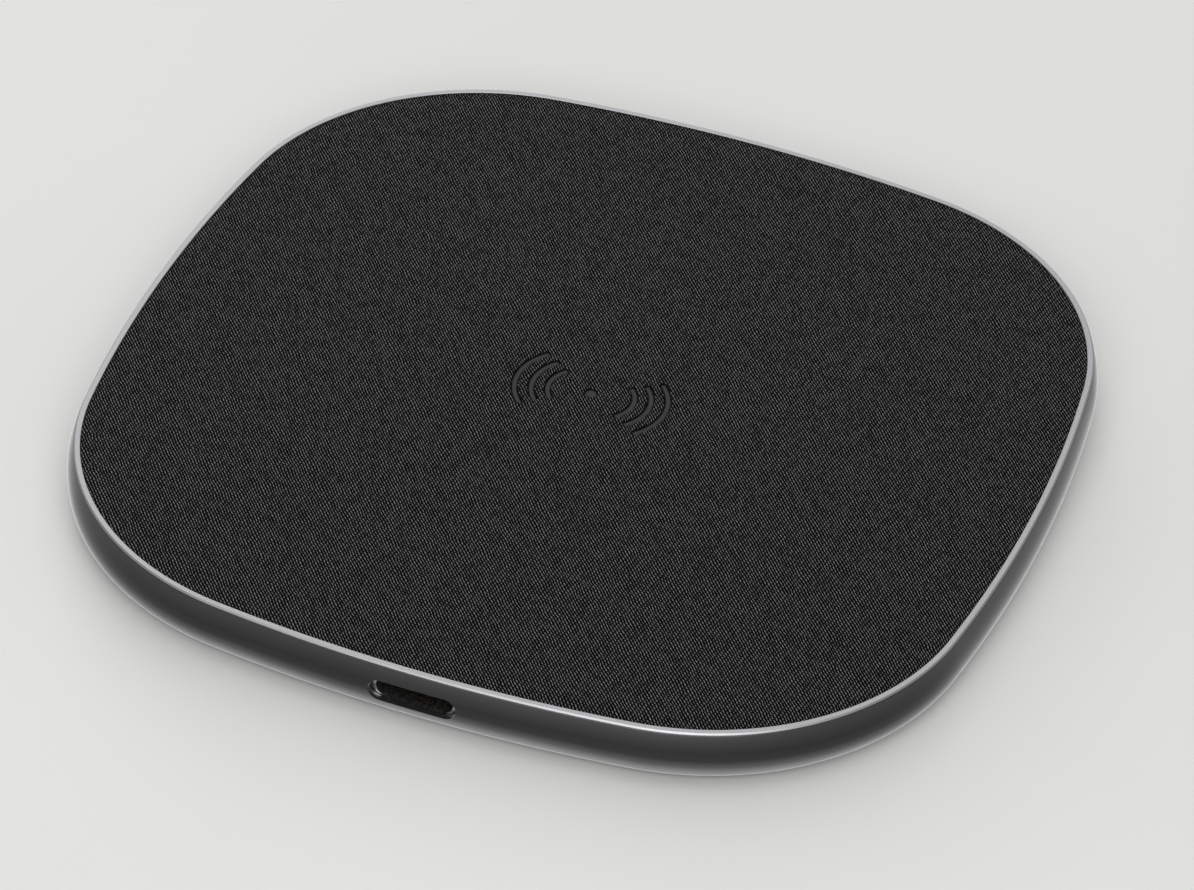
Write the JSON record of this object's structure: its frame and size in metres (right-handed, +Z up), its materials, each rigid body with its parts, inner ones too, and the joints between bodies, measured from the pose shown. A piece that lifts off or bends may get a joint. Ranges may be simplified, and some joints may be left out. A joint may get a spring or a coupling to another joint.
{
  "type": "wireless charging pad",
  "caption": "Low square-round charging pad: woven top in a metal bowl, USB-C inlet in one side, and a flat coil, ferrite disc and circuit board inside.",
  "frame": {"origin": "on the surface that the pad stands on, under the centre of the pad", "axes": "+Z up, out of the charging face; -Y out of the USB-C inlet; +X to the right when looking at the inlet"},
  "size_m": [0.1, 0.0999, 0.007],
  "materials": {
    "woven_textile": "fine diagonal weave, near black",
    "adhesive": "double-sided film",
    "plate_plastic": "moulded, matt",
    "bowl_metal": "blasted and anodised dark grey, rim cut bright",
    "silicone": "matt silicone",
    "screw_steel": "zinc plated",
    "enamelled_copper": "stranded enamelled copper",
    "ferrite": "sintered ferrite",
    "foam": "open-cell foam",
    "bead_glass": "dipped resin bead",
    "wire_sleeve": "thin sleeve",
    "board_laminate": "solder mask over glass laminate",
    "gold_plate": "gold flash",
    "solder": "bright solder",
    "connector_steel": "stamped and nickel plated",
    "connector_plastic": "glass-filled plastic",
    "chip_resin": "moulded resin",
    "capacitor_ceramic": "sintered ceramic",
    "inductor_body": "pressed powder",
    "crystal_can": "sealed can",
    "gap_filler": "soft pad",
    "polyimide": "amber film"
  },
  "bodies": {
    "root": {"fabric_cover": "woven_textile", "cover_film": "adhesive", "top_plate": "plate_plastic", "housing": "bowl_metal", "foot_ring": "silicone", "foot_tape": "adhesive", "case_screws": "screw_steel", "coil_tape": "adhesive", "charging_coil": "enamelled_copper", "coil_glue": "adhesive", "ferrite_disc": "ferrite", "coil_foam": "foam", "coil_leads": "enamelled_copper", "thermistor": "bead_glass", "thermistor_leads": "wire_sleeve", "main_board": "board_laminate", "board_screws": "screw_steel", "solder_pads": "gold_plate", "solder_joints": "solder", "usb_shell": "connector_steel", "usb_insulator": "connector_plastic", "usb_latch_plate": "connector_steel", "usb_contacts": "gold_plate", "usb_tails": "solder", "control_chip": "chip_resin", "bridge_chips": "chip_resin", "tuning_capacitors": "capacitor_ceramic", "input_capacitors": "capacitor_ceramic", "power_inductor": "inductor_body", "crystal": "crystal_can", "small_parts": "chip_resin", "thermal_pad": "gap_filler", "insulation_sheet": "polyimide"}
  },
  "joints": []
}
